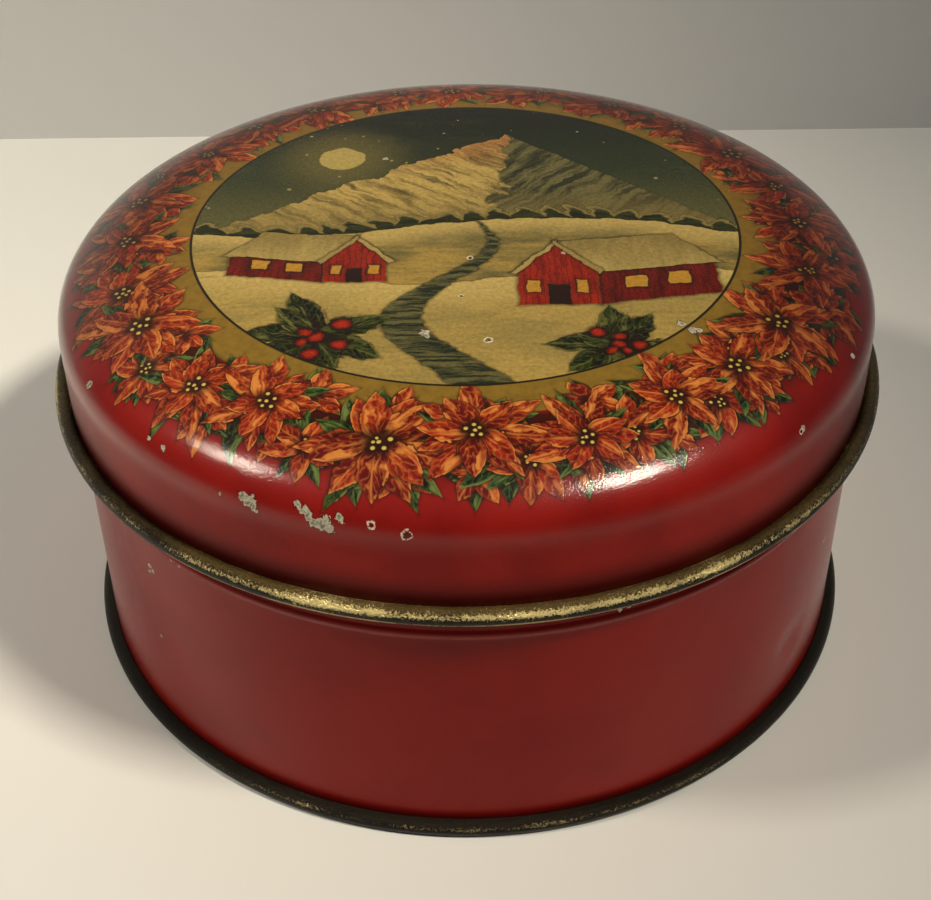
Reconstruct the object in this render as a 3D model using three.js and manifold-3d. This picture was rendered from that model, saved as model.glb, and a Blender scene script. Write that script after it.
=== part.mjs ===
// Round candy tin: a drawn slip lid with a wired rim, over a seamed body with a rolled foot.
// Millimetres, +Z up. The origin is on the tin's axis, on the surface that the tin stands on.
import * as THREE from 'three';
import { mergeVertices } from 'three/addons/utils/BufferGeometryUtils.js';
import Module from 'manifold-3d';

// Tinplate and fits
const SHEET = 0.3; // thickness of the tinplate
const FIT_GAP = 0.1; // between sheets that are rolled together, and round the wire
const SLIP_GAP = 0.5; // between the lid's skirt and the body's wall
const SEAT_GAP = 0.3; // between the lid and the body's mouth at rest

// Lid
const LID_RADIUS = 75; // outside of the skirt
const SKIRT_HEIGHT = 13.8; // from the middle of the rim bead to the start of the dome
const DOME_RISE = 11.6; // from the start of the dome to its middle
const DOME_POWER = 7; // power of the dome's superellipse: a higher one is flatter
const RIM_ROLL = 1.55; // outside radius of the rim bead

// Body
const BODY_HEIGHT = 69.1; // from the floor to the top of the mouth
const MOUTH_ROLL = 0.9; // outside radius of the mouth's inward roll
const RIDGE_DROP = 4.4; // from the underside of the lid's rim to the ridge on the wall
const RIDGE_PROUD = 0.35; // how far the ridge stands out
const RIDGE_WIDTH = 2.4; // height of the ridge on the wall
const FLANGE_BEND = 0.5; // bend radius at the foot of the wall, at the middle of the sheet

// Locked side seam at the back of the body
const SIDE_SEAM_WIDTH = 5;
const SIDE_SEAM_FOLDS = 2; // extra layers of sheet on the inside
const SIDE_SEAM_END_GAP = 0.5; // from the seam's ends to the bottom and to the mouth's roll

// Bottom and its seam, which is the foot
const FOOT_ROLL = 1.3; // outside radius of the rolled seam
const FOOT_PROUD = 2.4; // how far the seam stands out from the wall
const PANEL_RISE = 2.2; // from the floor to the underside of the bottom panel
const PANEL_STEP = 0.6; // how much higher the middle of the panel is
const PANEL_STEP_INSET = 7; // from the panel's edge to the step
const PANEL_STEP_RUN = 1.2; // width of the step

// Fineness of the facets
const FACETS = 60; // round the tin
const DOME_STEPS = 9;
const RIM_STEPS = 10;
const MOUTH_STEPS = 7;
const FOOT_STEPS = 5;
const BEND_STEPS = 2;
const WIRE_SIDES = 8;
const SEAT_SAMPLES = 400; // points along the dome that are tried against the mouth
const MERGE_DISTANCE = 1e-4;

// Sizes that follow from the ones above
const degreesWhere = (cosine) => THREE.MathUtils.radToDeg(Math.acos(cosine));
const HALF_SHEET = SHEET / 2;
const skirtMiddle = LID_RADIUS - HALF_SHEET;
const rimRollMiddle = RIM_ROLL - HALF_SHEET;
const rimRollRadius = skirtMiddle + rimRollMiddle;
const rimRollEnd = degreesWhere((LID_RADIUS + FIT_GAP - rimRollRadius) / RIM_ROLL);
const wireRadius = RIM_ROLL - SHEET - FIT_GAP;
const bodyRadius = LID_RADIUS - SHEET - SLIP_GAP;
const wallMiddle = bodyRadius - HALF_SHEET;
const mouthRollMiddle = MOUTH_ROLL - HALF_SHEET;
const mouthRollRadius = wallMiddle - mouthRollMiddle;
const mouthRollHeight = BODY_HEIGHT - MOUTH_ROLL;
const mouthRollEnd = 360 - degreesWhere((bodyRadius - SHEET - FIT_GAP - mouthRollRadius) / MOUTH_ROLL);
const flangeHeight = SHEET + FIT_GAP + HALF_SHEET;
const footRollRadius = bodyRadius + FOOT_PROUD - FOOT_ROLL;
const footRollMiddle = FOOT_ROLL - HALF_SHEET;
const flangeBend = Math.min(FLANGE_BEND, footRollRadius - wallMiddle - FIT_GAP);
const chuckMiddle = bodyRadius - SHEET - FIT_GAP - HALF_SHEET;
const panelMiddle = PANEL_RISE + HALF_SHEET;
const panelTop = PANEL_RISE + SHEET;

const point = (radius, height) => new THREE.Vector2(radius, height);

// Points along an arc in the plane of the profile, from one angle to another in degrees
function arc(radiusOfCentre, heightOfCentre, radius, from, to, steps) {
  return Array.from({ length: steps + 1 }, (_, step) => {
    const angle = THREE.MathUtils.degToRad(from + ((to - from) * step) / steps);
    return point(radiusOfCentre + radius * Math.cos(angle), heightOfCentre + radius * Math.sin(angle));
  });
}

// Closed outline of a sheet whose middle follows a path
function sheetOutline(path) {
  const sides = [[], []];
  path.forEach((here, index) => {
    const before = path[Math.max(index - 1, 0)];
    const after = path[Math.min(index + 1, path.length - 1)];
    const directions = [here.clone().sub(before), after.clone().sub(here)].filter((d) => d.length() > 0);
    const normals = directions.map((d) => point(-d.y, d.x).normalize());
    const miter = normals.reduce((sum, normal) => sum.clone().add(normal)).normalize();
    const reach = HALF_SHEET / miter.dot(normals[0]);
    sides[0].push(here.clone().addScaledVector(miter, reach));
    sides[1].push(here.clone().addScaledVector(miter, -reach));
  });
  return [...sides[0], ...sides[1].reverse()];
}

// Solid turned round the tin's axis from an outline, which may start and end on that axis
function turned(outline) {
  const points = THREE.ShapeUtils.isClockWise(outline) ? [...outline].reverse() : [...outline];
  const onAxis = points.findIndex((p, index) => {
    const next = points[(index + 1) % points.length];
    return Math.max(p.x, next.x) < MERGE_DISTANCE;
  });
  const first = onAxis + 1;
  const ring = [...points.slice(first), ...points.slice(0, first)];
  if (onAxis < 0) ring.push(ring[0].clone());
  return new THREE.LatheGeometry(ring, FACETS).rotateX(Math.PI / 2);
}

// Lid: its heights are measured from the middle of its rim bead
function domePath() {
  return Array.from({ length: DOME_STEPS + 1 }, (_, step) => {
    const angle = (Math.PI / 2) * (step / DOME_STEPS);
    const radius = skirtMiddle * Math.sin(angle) ** (2 / DOME_POWER);
    return point(radius, SKIRT_HEIGHT + (DOME_RISE - HALF_SHEET) * Math.cos(angle));
  });
}

function lidPath() {
  const roll = arc(rimRollRadius, 0, rimRollMiddle, 180, 360 + rimRollEnd, RIM_STEPS);
  return [...domePath(), ...roll];
}

// Height in the lid of the middle of the mouth's roll, when that roll carries the lid's shoulder
function seatHeightInLid() {
  const reach = MOUTH_ROLL + HALF_SHEET + SEAT_GAP;
  const shoulder = new THREE.Path(domePath())
    .getSpacedPoints(SEAT_SAMPLES)
    .filter(({ x }) => Math.abs(x - mouthRollRadius) < reach);
  return Math.min(...shoulder.map(({ x, y }) => y - Math.sqrt(reach ** 2 - (x - mouthRollRadius) ** 2)));
}

const rimHeight = mouthRollHeight - seatHeightInLid();

function lidShell() {
  return turned(sheetOutline(lidPath()));
}

function rimWire() {
  return turned(arc(rimRollRadius, 0, wireRadius, 0, 360, WIRE_SIDES).slice(1));
}

// Body: a rolled sheet with a flange at its foot, a low ridge under the lid and a rolled mouth
function bodyPath() {
  const ridgeHeight = rimHeight - RIM_ROLL - RIDGE_DROP;
  return [
    point(footRollRadius, flangeHeight),
    ...arc(wallMiddle + flangeBend, flangeHeight + flangeBend, flangeBend, 270, 180, BEND_STEPS),
    point(wallMiddle, ridgeHeight - RIDGE_WIDTH / 2),
    point(wallMiddle + RIDGE_PROUD, ridgeHeight),
    point(wallMiddle, ridgeHeight + RIDGE_WIDTH / 2),
    ...arc(mouthRollRadius, mouthRollHeight, mouthRollMiddle, 0, mouthRollEnd, MOUTH_STEPS),
  ];
}

// Folded layers of the locked side seam, which stand on the inside of the wall at the back
function sideSeam() {
  const outside = wallMiddle;
  const inside = bodyRadius - SHEET - SIDE_SEAM_FOLDS * SHEET;
  const halfAngle = SIDE_SEAM_WIDTH / 2 / bodyRadius;
  const back = Math.PI / 2;
  const low = panelTop + PANEL_STEP + SIDE_SEAM_END_GAP;
  const high = BODY_HEIGHT - 2 * MOUTH_ROLL - SIDE_SEAM_END_GAP;
  const section = new THREE.Shape();
  section.absarc(0, 0, outside, back - halfAngle, back + halfAngle, false);
  section.absarc(0, 0, inside, back + halfAngle, back - halfAngle, true);
  const layers = new THREE.ExtrudeGeometry(section, {
    depth: high - low,
    bevelEnabled: false,
    curveSegments: BEND_STEPS,
  });
  return layers.translate(0, 0, low);
}

// Boolean join of closed geometries
const wasm = await Module();
wasm.setup();

function toSolid(geometry) {
  const bare = geometry.clone();
  bare.deleteAttribute('normal');
  bare.deleteAttribute('uv');
  const merged = mergeVertices(bare, MERGE_DISTANCE);
  return new wasm.Manifold(new wasm.Mesh({
    numProp: 3,
    vertProperties: new Float32Array(merged.attributes.position.array),
    triVerts: new Uint32Array(merged.index.array),
  }));
}

function joined(first, second) {
  const mesh = toSolid(first).add(toSolid(second)).getMesh();
  const geometry = new THREE.BufferGeometry();
  geometry.setAttribute('position', new THREE.BufferAttribute(mesh.vertProperties, mesh.numProp));
  geometry.setIndex(new THREE.BufferAttribute(mesh.triVerts, 1));
  geometry.computeVertexNormals();
  return geometry;
}

function bodyWall() {
  return joined(turned(sheetOutline(bodyPath())), sideSeam());
}

// Bottom: a stepped panel, a wall that fits inside the body, and a roll round the body's flange
function bottomPath() {
  const stepOutside = chuckMiddle - PANEL_STEP_INSET;
  return [
    point(0, panelMiddle + PANEL_STEP),
    point(stepOutside - PANEL_STEP_RUN, panelMiddle + PANEL_STEP),
    point(stepOutside, panelMiddle),
    point(chuckMiddle, panelMiddle),
    point(chuckMiddle, HALF_SHEET),
    ...arc(footRollRadius, FOOT_ROLL, footRollMiddle, -90, 90, FOOT_STEPS),
    point(bodyRadius + FIT_GAP, 2 * FOOT_ROLL - HALF_SHEET),
  ];
}

function bottomPlate() {
  return turned(sheetOutline(bottomPath()));
}

// Finishes
const redLacquer = new THREE.MeshStandardMaterial({ color: 0x8e2419, roughness: 0.32, metalness: 0.1 });
const wornGold = new THREE.MeshStandardMaterial({ color: 0x6b5a2c, roughness: 0.42, metalness: 0.8 });
const steelWire = new THREE.MeshStandardMaterial({ color: 0x8c8a84, roughness: 0.4, metalness: 1 });

function piece(name, geometry, material) {
  const mesh = new THREE.Mesh(geometry, material);
  mesh.name = name;
  return mesh;
}

// Assembly
const lid = new THREE.Group();
lid.add(piece('lid_shell', lidShell(), redLacquer));
lid.add(piece('lid_rim_wire', rimWire(), steelWire));
lid.position.z = rimHeight;

const candyTin = new THREE.Group();
candyTin.add(piece('body_wall', bodyWall(), redLacquer));
candyTin.add(piece('bottom_plate', bottomPlate(), wornGold));
candyTin.add(lid);

export default candyTin;
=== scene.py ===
import math

import bpy
import numpy as np
from mathutils import Matrix, Vector


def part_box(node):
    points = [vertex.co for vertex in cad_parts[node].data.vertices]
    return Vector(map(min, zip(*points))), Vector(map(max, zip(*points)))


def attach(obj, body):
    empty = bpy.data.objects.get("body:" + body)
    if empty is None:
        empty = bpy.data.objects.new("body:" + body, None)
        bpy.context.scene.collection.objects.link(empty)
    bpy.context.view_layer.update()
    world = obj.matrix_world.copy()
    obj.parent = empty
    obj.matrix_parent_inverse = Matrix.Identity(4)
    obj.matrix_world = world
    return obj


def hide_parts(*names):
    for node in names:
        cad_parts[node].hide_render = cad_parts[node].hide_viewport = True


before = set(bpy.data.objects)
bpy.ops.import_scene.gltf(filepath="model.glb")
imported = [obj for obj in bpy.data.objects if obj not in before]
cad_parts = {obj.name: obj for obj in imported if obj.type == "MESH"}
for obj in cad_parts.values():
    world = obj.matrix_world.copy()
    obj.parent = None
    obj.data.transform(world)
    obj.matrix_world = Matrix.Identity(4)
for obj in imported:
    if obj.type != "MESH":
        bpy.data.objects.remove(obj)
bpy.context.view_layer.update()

# Sizes of the tin in millimetres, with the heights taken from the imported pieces
MM = 0.001
SHEET = 0.3
HALF_SHEET = SHEET / 2
LID_RADIUS = 75.0
SKIRT_HEIGHT = 13.8
DOME_POWER = 7
RIM_ROLL = 1.55
BODY_RADIUS = 74.2
MOUTH_ROLL = 0.9
FLANGE_BEND = 0.5
FOOT_ROLL = 1.3
FOOT_PROUD = 2.4
RIDGE_DROP = 4.4
RIDGE_PROUD = 0.35
RIDGE_WIDTH = 2.4
PANEL_RISE = 2.2
PANEL_BEND = 0.4
FOOT_BEND = 0.3
PANEL_STEP = 0.6
PANEL_STEP_INSET = 7.0
PANEL_STEP_RUN = 1.2
FIT_GAP = 0.1
SEAM_WIDTH = 5.0
SEAM_FOLDS = 2
SEAM_STEP = 0.22
SEAM_END_GAP = 0.5

wire_low, wire_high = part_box("lid_rim_wire")
RIM_HEIGHT = (wire_low.z + wire_high.z) / 2 / MM
LID_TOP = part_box("lid_shell")[1].z / MM
BODY_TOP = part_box("body_wall")[1].z / MM
DOME_START = RIM_HEIGHT + SKIRT_HEIGHT
DOME_RISE = LID_TOP - DOME_START
RIDGE_HEIGHT = RIM_HEIGHT - RIM_ROLL - RIDGE_DROP

# Printed bands on the lid, in millimetres along its surface from the middle
PICTURE_RADIUS = 49.6
LINE_WIDTH = 0.5
GOLD_RING_RADIUS = 57.2
PRINT_EDGE = 0.1

# Fineness of the turned meshes
AROUND = 288
FLAT_STEPS = 8
DOME_STEPS = 90
SKIRT_STEPS = 12
ROLL_STEPS = 28
WALL_STEPS = 48
UPPER_WALL_STEPS = 14
RIDGE_STEPS = 12
BEND_STEPS = 5
SHARP_ANGLE = 50
FLAT_SHARE = 0.6
EDGE_CLEARANCE = 0.4
SEAM_CLEARANCE = 0.1


def srgb(red, green, blue):
    """Linear colour of an sRGB colour given from 0 to 255."""
    def linear(level):
        share = level / 255
        return share / 12.92 if share <= 0.04045 else ((share + 0.055) / 1.055) ** 2.4
    return (linear(red), linear(green), linear(blue), 1.0)


class Field:
    """A number that varies over a surface. Arithmetic on it adds nodes to the tree it belongs to."""

    def __init__(self, nodes, socket):
        self.nodes = nodes
        self.socket = socket

    def __add__(self, other):
        return self.nodes.math("ADD", self, other)

    def __sub__(self, other):
        return self.nodes.math("SUBTRACT", self, other)

    def __rsub__(self, other):
        return self.nodes.math("SUBTRACT", other, self)

    def __mul__(self, other):
        return self.nodes.math("MULTIPLY", self, other)

    def __truediv__(self, other):
        return self.nodes.math("DIVIDE", self, other)

    def __rtruediv__(self, other):
        return self.nodes.math("DIVIDE", other, self)

    def __pow__(self, other):
        return self.nodes.math("POWER", self, other)

    def __abs__(self):
        return self.nodes.math("ABSOLUTE", self)

    def min(self, other):
        return self.nodes.math("MINIMUM", self, other)

    def max(self, other):
        return self.nodes.math("MAXIMUM", self, other)

    def mod(self, other):
        return self.nodes.math("FLOORED_MODULO", self, other)

    def round(self):
        return self.nodes.math("ROUND", self)

    def sin(self):
        return self.nodes.math("SINE", self)

    def cos(self):
        return self.nodes.math("COSINE", self)

    def clip(self):
        return self.max(0.0).min(1.0)

    def smooth(self, low, high):
        """0 at low and 1 at high, with a soft step between. Low may be the greater."""
        node = self.nodes.node("ShaderNodeMapRange", interpolation_type="SMOOTHSTEP", clamp=False)
        self.nodes.feed(node.inputs["Value"], self)
        self.nodes.feed(node.inputs["From Min"], low)
        self.nodes.feed(node.inputs["From Max"], high)
        return Field(self.nodes, node.outputs["Result"])


class Nodes:
    """A node tree, with short ways to add the nodes that a surface is painted with."""

    def __init__(self, tree):
        self.tree = tree

    def node(self, kind, **settings):
        made = self.tree.nodes.new(kind)
        for key, value in settings.items():
            setattr(made, key, value)
        return made

    def feed(self, socket, value):
        if isinstance(value, Field):
            self.tree.links.new(value.socket, socket)
        elif isinstance(value, bpy.types.NodeSocket):
            self.tree.links.new(value, socket)
        else:
            socket.default_value = value

    def math(self, operation, *values):
        node = self.node("ShaderNodeMath", operation=operation)
        for socket, value in zip(node.inputs, values):
            self.feed(socket, value)
        return Field(self, node.outputs["Value"])

    def join(self, x, y, z=0.0):
        node = self.node("ShaderNodeCombineXYZ")
        for socket, value in zip(node.inputs, (x, y, z)):
            self.feed(socket, value)
        return node.outputs[0]

    def split(self, vector):
        node = self.node("ShaderNodeSeparateXYZ")
        self.feed(node.inputs[0], vector)
        return [Field(self, output) for output in node.outputs]

    def noise(self, vector, scale, detail=2.0, roughness=0.5):
        """Noise from 0 to 1, with scale in features per millimetre."""
        node = self.node("ShaderNodeTexNoise")
        self.feed(node.inputs["Vector"], vector)
        node.inputs["Scale"].default_value = scale
        node.inputs["Detail"].default_value = detail
        node.inputs["Roughness"].default_value = roughness
        return Field(self, node.outputs["Fac"])

    def specks(self, vector, scale):
        """Distance in millimetres to the nearest of many scattered points, and a random share for each."""
        node = self.node("ShaderNodeTexVoronoi")
        self.feed(node.inputs["Vector"], vector)
        node.inputs["Scale"].default_value = scale
        luck = self.split(node.outputs["Color"])[0]
        return Field(self, node.outputs["Distance"]) / scale, luck

    def random(self, number, seed):
        """The same random share, from 0 to 1, wherever a whole number is the same."""
        both = number + seed * 0.37
        node = self.node("ShaderNodeTexWhiteNoise", noise_dimensions="1D")
        self.feed(node.inputs["W"], both)
        return Field(self, node.outputs["Value"])

    def mix(self, share, first, second, blend="MIX"):
        node = self.node("ShaderNodeMix", data_type="RGBA", blend_type=blend)
        self.feed(node.inputs[0], share)
        self.feed(node.inputs[6], first)
        self.feed(node.inputs[7], second)
        return node.outputs[2]

    def blend(self, share, first, second):
        """Mix of two numbers."""
        node = self.node("ShaderNodeMix", data_type="FLOAT")
        self.feed(node.inputs[0], share)
        self.feed(node.inputs[2], first)
        self.feed(node.inputs[3], second)
        return Field(self, node.outputs[0])

    def use(self, group, **inputs):
        """Adds a node group and gives its results."""
        made = self.node("ShaderNodeGroup", node_tree=group.tree)
        for key, value in inputs.items():
            self.feed(made.inputs[key], value)
        results = [Field(self, out) if out.type == "VALUE" else out for out in made.outputs]
        return results[0] if len(results) == 1 else results


class Group(Nodes):
    """A painting step that is used again with other numbers and colours."""

    def __init__(self, name, numbers, colours=()):
        super().__init__(bpy.data.node_groups.new(name, "ShaderNodeTree"))
        for number in numbers:
            self.tree.interface.new_socket(number, in_out="INPUT", socket_type="NodeSocketFloat")
        for colour in colours:
            self.tree.interface.new_socket(colour, in_out="INPUT", socket_type="NodeSocketColor")
        self.entry = self.node("NodeGroupInput")
        self.exit = self.node("NodeGroupOutput")

    def numbers(self):
        return [Field(self, out) for out in self.entry.outputs if out.type == "VALUE"]

    def colours(self):
        return [out for out in self.entry.outputs if out.type == "RGBA"]

    def give(self, **results):
        for name, value in results.items():
            kind = "NodeSocketFloat" if isinstance(value, Field) else "NodeSocketColor"
            self.tree.interface.new_socket(name, in_out="OUTPUT", socket_type=kind)
            self.feed(self.exit.inputs[name], value)
        return self


class Finish(Nodes):
    """A material."""

    def __init__(self, name):
        self.material = bpy.data.materials.new(name)
        self.material.use_nodes = True
        super().__init__(self.material.node_tree)
        self.tree.nodes.clear()
        self.shader = self.node("ShaderNodeBsdfPrincipled")
        output = self.node("ShaderNodeOutputMaterial")
        self.tree.links.new(self.shader.outputs["BSDF"], output.inputs["Surface"])

    def set(self, **inputs):
        """Sets the shader's inputs, with spaces in their names written as _."""
        for key, value in inputs.items():
            self.feed(self.shader.inputs[key.replace("_", " ")], value)

    def place(self):
        """Millimetres in the tin's own frame."""
        node = self.node("ShaderNodeVectorMath", operation="SCALE")
        self.feed(node.inputs[0], self.node("ShaderNodeTexCoord").outputs["Object"])
        node.inputs["Scale"].default_value = 1 / MM
        return node.outputs["Vector"]

    def flat_print(self):
        """Millimetres on the lid's flat print, from its middle."""
        return self.node("ShaderNodeAttribute", attribute_name="print").outputs["Vector"]

    def bump(self, height, distance, strength=1.0):
        node = self.node("ShaderNodeBump")
        self.feed(node.inputs["Height"], height)
        node.inputs["Distance"].default_value = distance
        node.inputs["Strength"].default_value = strength
        return node.outputs["Normal"]


# Colours of the print
RED = srgb(142, 22, 14)
LID_RED = srgb(154, 25, 16)
RED_DEEP = srgb(122, 14, 9)
RED_RUBBED = srgb(178, 84, 66)
# Dark red painted as shade on the skirt above the rim bead, above the foot and under the lid's rim
CORNER_SHADE = srgb(36, 8, 6)
GOLD = srgb(136, 106, 36)
GOLD_DULL = srgb(112, 82, 28)
LINE = srgb(30, 24, 12)
SHADE = srgb(40, 17, 9)
BARE_METAL = srgb(214, 204, 180)
BARE_DULL = srgb(126, 117, 98)
CHIP_EDGE = srgb(238, 224, 198)
BRACT = (srgb(98, 12, 8), srgb(166, 46, 18), srgb(220, 142, 66))
LEAF = (srgb(13, 21, 9), srgb(46, 70, 28), srgb(116, 130, 64))
STAMEN = srgb(214, 186, 96)
STAMEN_DEEP = srgb(134, 106, 38)
CREAM = srgb(212, 188, 120)
# A tint multiplied in as painted shade towards the lid's sides and back
SIDE_SHADE = srgb(168, 142, 126)

TURN = 2 * math.pi


def length_of(x, y):
    return (x * x + y * y) ** 0.5


# The garland of poinsettias on the lid
def petal_ring_group():
    """One ring of pointed bracts or leaves round a flower's middle, painted over what is below."""
    group = Group("petal_ring", ["Reach", "Bearing", "Count", "Length", "Width", "Seed", "Mottle"],
                  ["Below", "Deep", "Bright", "Vein"])
    reach, bearing, count, length, width, seed, mottle = group.numbers()
    below, deep, bright, vein = group.colours()
    step = TURN / count
    number = (bearing / step).round()
    which = number.mod(count)
    luck = group.random(which, seed)
    other = group.random(which, seed + 0.5)
    lean = bearing - number * step + (luck - 0.5) * 0.26
    along = reach * lean.cos()
    longest = length * (other * 0.36 + 0.78)
    share = (along / longest).clip()
    across = reach * lean.sin() + (luck - 0.5) * share * share * length * 0.3
    wave = across * 3.2 + along * 0.3 + mottle * 7 + luck * 40
    streaks = mottle + wave.sin() * 0.11 + (wave * 2.3 - along * 0.8 + other * 30).sin() * 0.07
    half = share ** 0.9 * (1 - share) ** 1.1 * width * (streaks * 2.4 + 2.7)
    inside = (half - abs(across)).min((longest - along) * 0.6)
    side = across.smooth(-0.9, 0.9)
    tone = luck * 0.5 + side * 0.4 + share * 0.2 + (streaks - 0.5) * 2.6 - 0.1
    colour = group.mix(tone.clip(), deep, bright)
    glow = (streaks + side * 0.16 + other * 0.22).smooth(0.72, 1.06) * inside.smooth(0.0, 0.7)
    slant = (along - abs(across) * 1.5) / 1.7 + streaks * 1.6
    veins = abs(slant.mod(1.0) - 0.5).smooth(0.2, 0.02) * inside.smooth(0.05, 0.5) * 0.3
    midrib = abs(across).smooth(0.26, 0.06) * streaks.smooth(0.4, 0.6) * 0.7
    colour = group.mix(glow.max(veins).max(midrib) * 0.85, colour, vein)
    edge = inside.smooth(0.5, 0.16) * (side * 0.75 + 0.1) * streaks.smooth(0.3, 0.55)
    colour = group.mix(edge, colour, vein)
    colour = group.mix(share.smooth(0.42, 0.1) * 0.9, colour, SHADE)
    dusk = inside.smooth(-0.9, 0.1) * (reach / length).smooth(1.0, 0.5)
    shaded = group.mix(dusk * 0.55 + inside.smooth(-0.5, 0.05) * 0.42, below, SHADE)
    return group.give(Colour=group.mix(inside.smooth(-0.02, 0.13), shaded, colour))


def stamens_group():
    """The cluster of beads in a flower's middle."""
    group = Group("stamens", ["Reach", "Bearing", "Size", "Seed"], ["Below", "Deep", "Bright"])
    reach, bearing, size, seed = group.numbers()
    below, deep, bright = group.colours()
    count = 5
    step = TURN / count
    number = (bearing / step).round()
    luck = group.random(number.mod(count), seed)
    lean = bearing - number * step
    out = reach * lean.cos() - size * (luck * 1.9 + 0.9)
    across = reach * lean.sin() + (luck - 0.5) * 0.9 * size
    nearest = length_of(out, across).min(reach)
    inside = size * (luck * 0.2 + 0.56) - nearest
    lit = (inside / size).smooth(0.0, 0.5)
    bead = group.mix(lit, deep, bright)
    shaded = group.mix(inside.smooth(-1.1, 0.1) * 0.9, below, SHADE)
    return group.give(Colour=group.mix(inside.smooth(0.0, 0.14), shaded, bead))


def flower_place_group():
    """Where a point lies from the middle of the nearest flower of a round."""
    group = Group("flower_place", ["X", "Y", "Count", "Radius", "Phase", "Seed"])
    x, y, count, radius, phase, seed = group.numbers()
    period = TURN / count
    angle = group.math("ARCTAN2", x, 0 - y)
    number = (angle / period - phase).round()
    which = number.mod(count)
    heading = (number + phase + (group.random(which, seed) - 0.5) * 0.18) * period
    middle = (group.random(which, seed + 0.2) - 0.5) * 3.0 + radius
    right = x - middle * heading.sin()
    back = y + middle * heading.cos()
    reach = length_of(right, back) / (group.random(which, seed + 0.4) * 0.26 + 0.86)
    bearing = group.math("ARCTAN2", back, right) + group.random(which, seed + 0.6) * TURN
    return group.give(Reach=reach, Bearing=bearing, Which=which)


petal_ring = petal_ring_group()
stamens = stamens_group()
flower_place = flower_place_group()

# Rounds of flowers from the lowest to the topmost: count, radius, phase, seed, rings and bead size.
# A ring is its colours, number of petals, and about their length and half width.
ROUNDS = [
    (26, 67.2, 0.1, 11, [(LEAF, 5, 6.0, 1.3), (BRACT, 5, 5.4, 1.6)], 0),
    (19, 65.0, 0.2, 1, [(LEAF, 6, 9.0, 1.7)], 0),
    (24, 57.6, 0.3, 2, [(LEAF, 5, 6.2, 1.5), (BRACT, 6, 6.4, 1.8)], 0),
    (24, 65.8, 0.5, 3, [(LEAF, 6, 8.0, 1.4), (BRACT, 6, 8.2, 2.0)], 0.52),
    (12, 62.6, 0.5, 4, [(LEAF, 5, 11.6, 1.7), (BRACT, 7, 11.6, 2.3), (BRACT, 5, 9.4, 2.4)], 0.66),
    (12, 61.4, 0.0, 7, [(LEAF, 5, 11.4, 1.7), (BRACT, 7, 11.4, 2.3), (BRACT, 5, 9.2, 2.4)], 0.66),
]


def painted_garland(finish, colour, x, y, mottle):
    """All rounds of flowers, each painted over the ones below."""
    for count, radius, phase, seed, rings, beads in ROUNDS:
        reach, bearing, which = finish.use(
            flower_place, X=x, Y=y, Count=count, Radius=radius, Phase=phase, Seed=seed)
        for k, (tones, petals, length, width) in enumerate(rings):
            deep, bright, vein = tones
            colour = finish.use(
                petal_ring, Reach=reach, Bearing=bearing + 0.5 * k, Count=petals,
                Length=length, Width=width, Seed=which * 13 + seed * 3 + k, Mottle=mottle,
                Below=colour, Deep=deep, Bright=bright, Vein=vein)
        if beads:
            colour = finish.use(
                stamens, Reach=reach, Bearing=bearing, Size=beads, Seed=which + seed * 5,
                Below=colour, Deep=STAMEN_DEEP, Bright=STAMEN)
    return colour


def on_lid(marks):
    """Places on the flat print for marks given as an angle from the front, a distance and a radius."""
    return [(distance * math.sin(math.radians(angle)), -distance * math.cos(math.radians(angle)), size)
            for angle, distance, size in marks]


def on_body(marks):
    """Places on the unrolled wall for marks given as an angle from the front, a height and a radius."""
    return [(math.radians(angle) * BODY_RADIUS, height, size) for angle, height, size in marks]


def nearest(x, y, marks):
    """Distance from the nearest mark in its own radii."""
    least = None
    for right, back, size in marks:
        here = length_of(x - right, y - back) / size
        least = least.min(here) if least else here
    return least


def worn(finish, colour, x, y, flat, chips, flakes):
    """Chips through the print to bare metal, and flakes whose lifted rim is bare round a dark middle."""
    ragged = finish.noise(flat, 0.9, 3.0, 0.65) - 0.5
    stain = finish.noise(flat, 1.6, 2.0)
    depth = nearest(x, y, chips) + ragged * 3.0
    # Painted shade in a dark ring round each chip
    colour = finish.mix(depth.smooth(1.5, 1.02) * 0.55, colour, SHADE)
    bare = depth.smooth(1.04, 0.96)
    metal = finish.mix(stain.smooth(0.38, 0.66), BARE_METAL, BARE_DULL)
    # A pale edge inside each chip, partly a painted highlight
    metal = finish.mix(depth.smooth(0.6, 0.98) * stain.smooth(0.42, 0.58), metal, CHIP_EDGE)
    colour = finish.mix(bare, colour, metal)
    ring = nearest(x, y, flakes) + ragged * 1.8
    colour = finish.mix(ring.smooth(0.62, 0.42) * 0.75, colour, SHADE)
    lifted = ring.smooth(1.08, 0.98) * ring.smooth(0.62, 0.76) * stain.smooth(0.36, 0.5)
    return finish.mix(lifted, colour, CHIP_EDGE), bare.max(lifted)


GRAIN_SCALE = 2.6
GRAIN_DEPTH = 0.00004


def glossy_print(finish, colour, vector, bare, coat, roughness):
    """Shine of varnished print, with the fine grain that breaks up its highlights and sunken chips."""
    grain = finish.noise(vector, GRAIN_SCALE, 2.0, 0.7)
    normal = finish.bump(grain - bare * 1.5, GRAIN_DEPTH)
    finish.set(Base_Color=colour, Metallic=bare * 0.3, Normal=normal)
    finish.set(Roughness=grain * 0.12 + bare * 0.2 + roughness)
    finish.set(Specular_IOR_Level=0.14, Coat_Weight=coat, Coat_Roughness=0.05, Coat_Normal=normal)


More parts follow.
